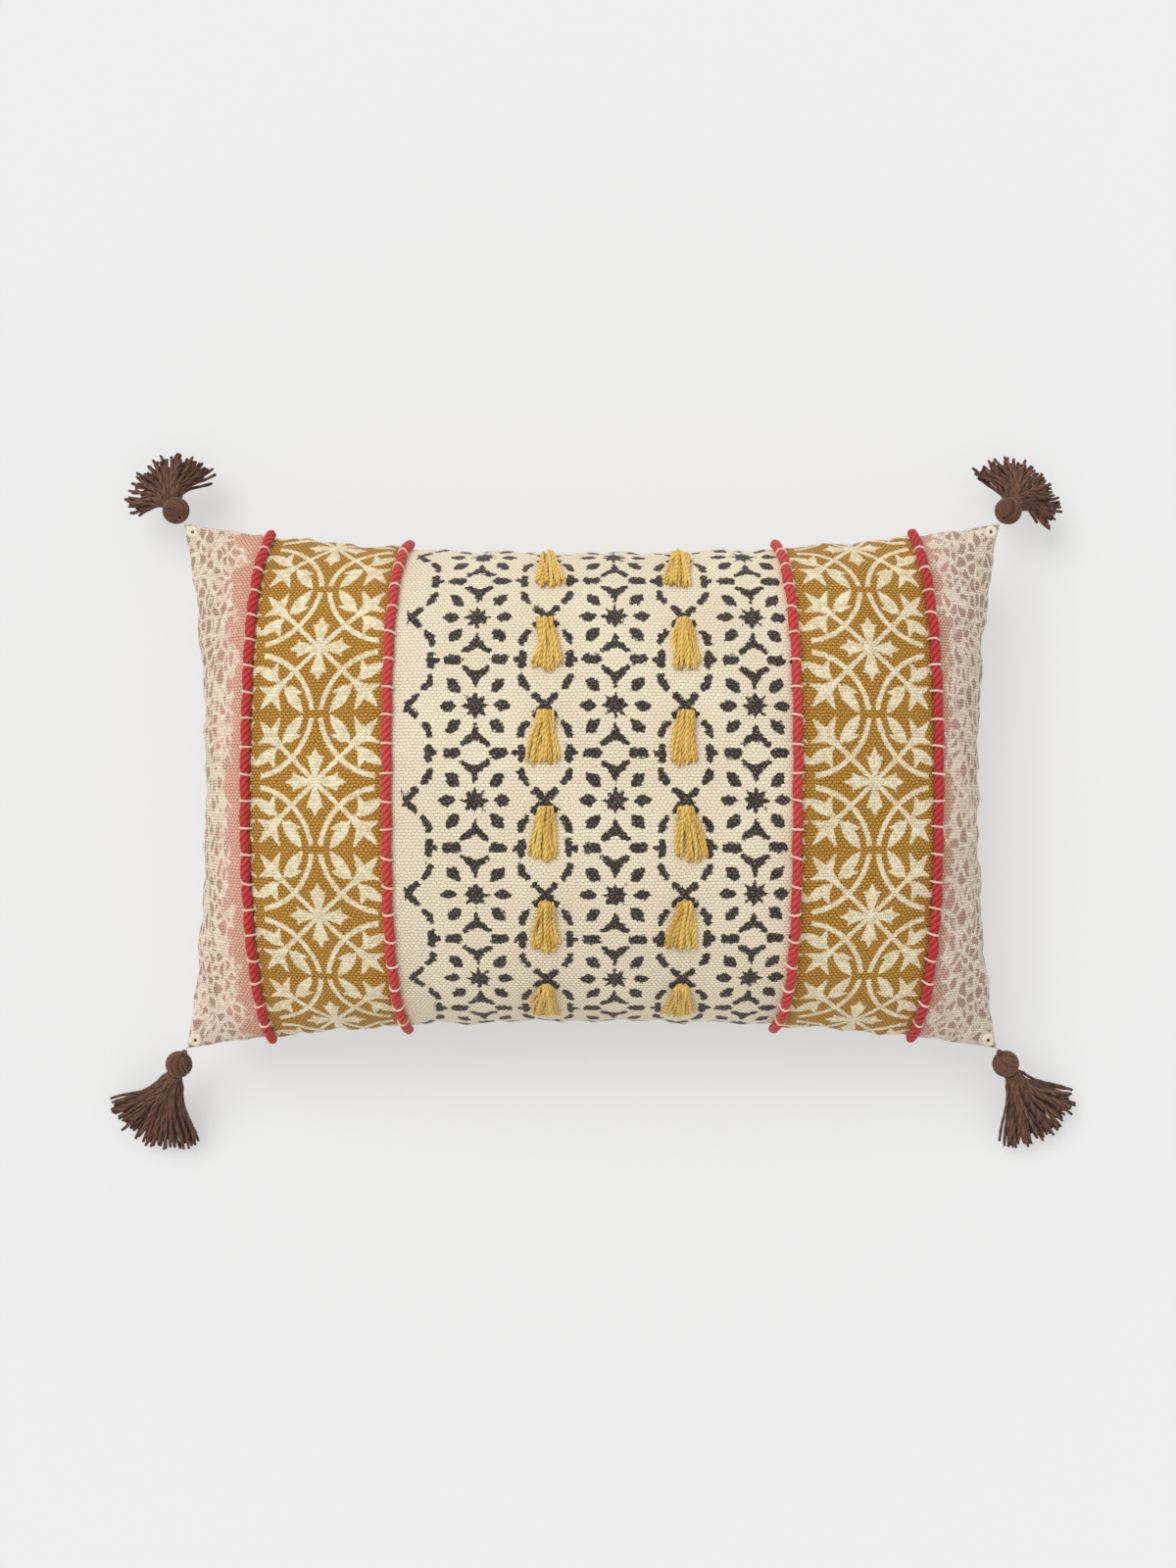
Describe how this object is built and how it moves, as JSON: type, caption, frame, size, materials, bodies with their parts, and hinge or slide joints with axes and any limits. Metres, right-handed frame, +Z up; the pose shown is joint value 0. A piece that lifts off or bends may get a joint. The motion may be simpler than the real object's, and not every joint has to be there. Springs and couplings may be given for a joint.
{
  "type": "throw pillow",
  "caption": "Rectangular stuffed throw pillow with a pieced printed cover, couched cords, back zip, corner tassels and small yarn tassels.",
  "frame": {"origin": "on the floor under the middle of the whole object's box", "axes": "+Z up from the floor through the printed front, +X along the long side, +Y across it, away from the zip"},
  "size_m": [0.6681, 0.5036, 0.1719],
  "materials": {
    "cream_print_canvas": "coarse cotton canvas, charcoal block print",
    "gold_print_canvas": "coarse cotton canvas, ochre ground with cream print",
    "pink_print_canvas": "coarse cotton canvas, dusty rose with cream and taupe print",
    "plain_canvas": "plain cream cotton canvas",
    "casing_cotton": "thin white cotton",
    "polyester_fill": "white polyester fibre",
    "red_yarn": "twisted red yarn",
    "cream_thread": "cream thread",
    "zip_tape": "woven tape",
    "zip_coil": "nylon coil",
    "zip_metal": "cast zinc, brass plated",
    "mustard_yarn": "mustard wool yarn",
    "brown_yarn": "brown wool yarn"
  },
  "bodies": {
    "pillow": {"left_pink_front_panel": "pink_print_canvas", "left_gold_front_panel": "gold_print_canvas", "centre_front_panel": "cream_print_canvas", "right_gold_front_panel": "gold_print_canvas", "right_pink_front_panel": "pink_print_canvas", "lower_back_panel": "plain_canvas", "upper_back_panel": "plain_canvas", "insert_casing_front": "casing_cotton", "insert_casing_back": "casing_cotton", "insert_fill": "polyester_fill", "left_inner_cord": "red_yarn", "left_inner_cord_stitches": "cream_thread", "left_outer_cord": "red_yarn", "left_outer_cord_stitches": "cream_thread", "right_inner_cord": "red_yarn", "right_inner_cord_stitches": "cream_thread", "right_outer_cord": "red_yarn", "right_outer_cord_stitches": "cream_thread", "zip_upper_tape": "zip_tape", "zip_upper_coil": "zip_coil", "zip_lower_tape": "zip_tape", "zip_lower_coil": "zip_coil", "zip_top_stop": "zip_metal", "zip_bottom_stop": "zip_metal", "front_left_rosette": "cream_thread", "front_right_rosette": "cream_thread", "rear_left_rosette": "cream_thread", "rear_right_rosette": "cream_thread"},
    "front_left_tassel": {"front_left_tassel_loop": "brown_yarn", "front_left_tassel_head": "brown_yarn", "front_left_tassel_neck": "brown_yarn", "front_left_tassel_skirt": "brown_yarn"},
    "front_right_tassel": {"front_right_tassel_loop": "brown_yarn", "front_right_tassel_head": "brown_yarn", "front_right_tassel_neck": "brown_yarn", "front_right_tassel_skirt": "brown_yarn"},
    "rear_left_tassel": {"rear_left_tassel_loop": "brown_yarn", "rear_left_tassel_head": "brown_yarn", "rear_left_tassel_neck": "brown_yarn", "rear_left_tassel_skirt": "brown_yarn"},
    "rear_right_tassel": {"rear_right_tassel_loop": "brown_yarn", "rear_right_tassel_head": "brown_yarn", "rear_right_tassel_neck": "brown_yarn", "rear_right_tassel_skirt": "brown_yarn"},
    "small_tassel_01_body": {"small_tassel_01": "mustard_yarn"},
    "small_tassel_02_body": {"small_tassel_02": "mustard_yarn"},
    "small_tassel_03_body": {"small_tassel_03": "mustard_yarn"},
    "small_tassel_04_body": {"small_tassel_04": "mustard_yarn"},
    "small_tassel_05_body": {"small_tassel_05": "mustard_yarn"},
    "small_tassel_06_body": {"small_tassel_06": "mustard_yarn"},
    "small_tassel_07_body": {"small_tassel_07": "mustard_yarn"},
    "small_tassel_08_body": {"small_tassel_08": "mustard_yarn"},
    "small_tassel_09_body": {"small_tassel_09": "mustard_yarn"},
    "small_tassel_10_body": {"small_tassel_10": "mustard_yarn"},
    "small_tassel_11_body": {"small_tassel_11": "mustard_yarn"},
    "small_tassel_12_body": {"small_tassel_12": "mustard_yarn"},
    "slider": {"zip_slider": "zip_metal"},
    "pull": {"zip_pull": "zip_metal"}
  },
  "joints": [
    {"name": "front_left_tassel_swing", "type": "hinge", "parent": "pillow", "child": "front_left_tassel", "pos_m": [-0.27962, -0.17501, 0.05059], "axis": [-0.8829, 0.4695, 0], "range_deg": [0, 100]},
    {"name": "front_right_tassel_swing", "type": "hinge", "parent": "pillow", "child": "front_right_tassel", "pos_m": [0.27607, -0.17499, 0.05059], "axis": [-0.848, -0.5299, 0], "range_deg": [0, 100]},
    {"name": "rear_left_tassel_swing", "type": "hinge", "parent": "pillow", "child": "rear_left_tassel", "pos_m": [-0.27963, 0.18509, 0.06446], "axis": [0.829, 0.5592, 0], "range_deg": [0, 100]},
    {"name": "rear_right_tassel_swing", "type": "hinge", "parent": "pillow", "child": "rear_right_tassel", "pos_m": [0.27605, 0.18508, 0.06446], "axis": [0.809, -0.5878, 0], "range_deg": [0, 100]},
    {"name": "small_tassel_01_flip", "type": "hinge", "parent": "pillow", "child": "small_tassel_01_body", "pos_m": [-0.03052, 0.15908, 0.10544], "axis": [-0.9969, -0.0536, 0.0583], "range_deg": [0, 150]},
    {"name": "small_tassel_02_flip", "type": "hinge", "parent": "pillow", "child": "small_tassel_02_body", "pos_m": [-0.03149, 0.11384, 0.14744], "axis": [-0.9919, 0.1103, -0.0632], "range_deg": [0, 150]},
    {"name": "small_tassel_03_flip", "type": "hinge", "parent": "pillow", "child": "small_tassel_03_body", "pos_m": [-0.03181, 0.05408, 0.16561], "axis": [-0.9965, -0.0818, -0.016], "range_deg": [0, 150]},
    {"name": "small_tassel_04_flip", "type": "hinge", "parent": "pillow", "child": "small_tassel_04_body", "pos_m": [-0.03189, -0.00749, 0.16855], "axis": [-0.9997, -0.0002, -0.0241], "range_deg": [0, 150]},
    {"name": "small_tassel_05_flip", "type": "hinge", "parent": "pillow", "child": "small_tassel_05_body", "pos_m": [-0.03171, -0.06898, 0.16051], "axis": [-0.9969, 0.0784, 0.0061], "range_deg": [0, 150]},
    {"name": "small_tassel_06_flip", "type": "hinge", "parent": "pillow", "child": "small_tassel_06_body", "pos_m": [-0.03124, -0.12526, 0.13344], "axis": [-0.9905, -0.0838, -0.1091], "range_deg": [0, 150]},
    {"name": "small_tassel_07_flip", "type": "hinge", "parent": "pillow", "child": "small_tassel_07_body", "pos_m": [0.05562, 0.15907, 0.10578], "axis": [-0.9907, -0.084, 0.1066], "range_deg": [0, 150]},
    {"name": "small_tassel_08_flip", "type": "hinge", "parent": "pillow", "child": "small_tassel_08_body", "pos_m": [0.05758, 0.11361, 0.14668], "axis": [-0.9989, 0.0261, 0.0397], "range_deg": [0, 150]},
    {"name": "small_tassel_09_flip", "type": "hinge", "parent": "pillow", "child": "small_tassel_09_body", "pos_m": [0.05825, 0.05397, 0.16442], "axis": [-0.9965, 0.0648, 0.053], "range_deg": [0, 150]},
    {"name": "small_tassel_10_flip", "type": "hinge", "parent": "pillow", "child": "small_tassel_10_body", "pos_m": [0.05842, -0.00746, 0.1673], "axis": [-0.9916, -0.1177, 0.053], "range_deg": [0, 150]},
    {"name": "small_tassel_11_flip", "type": "hinge", "parent": "pillow", "child": "small_tassel_11_body", "pos_m": [0.05806, -0.06881, 0.15938], "axis": [-0.9919, 0.0943, 0.0855], "range_deg": [0, 150]},
    {"name": "small_tassel_12_flip", "type": "hinge", "parent": "pillow", "child": "small_tassel_12_body", "pos_m": [0.05706, -0.12504, 0.13283], "axis": [-0.9999, -0.0157, 0.0069], "range_deg": [0, 150]},
    {"name": "zip_slide", "type": "slide", "parent": "pillow", "child": "slider", "axis": [-1, 0, 0], "range_m": [0, 0.2892]},
    {"name": "zip_pull_turn", "type": "hinge", "parent": "slider", "child": "pull", "pos_m": [0.1428, -0.13448, 0.03596], "axis": [0, -0.7224, 0.6915], "range_deg": [-80, 80]}
  ]
}
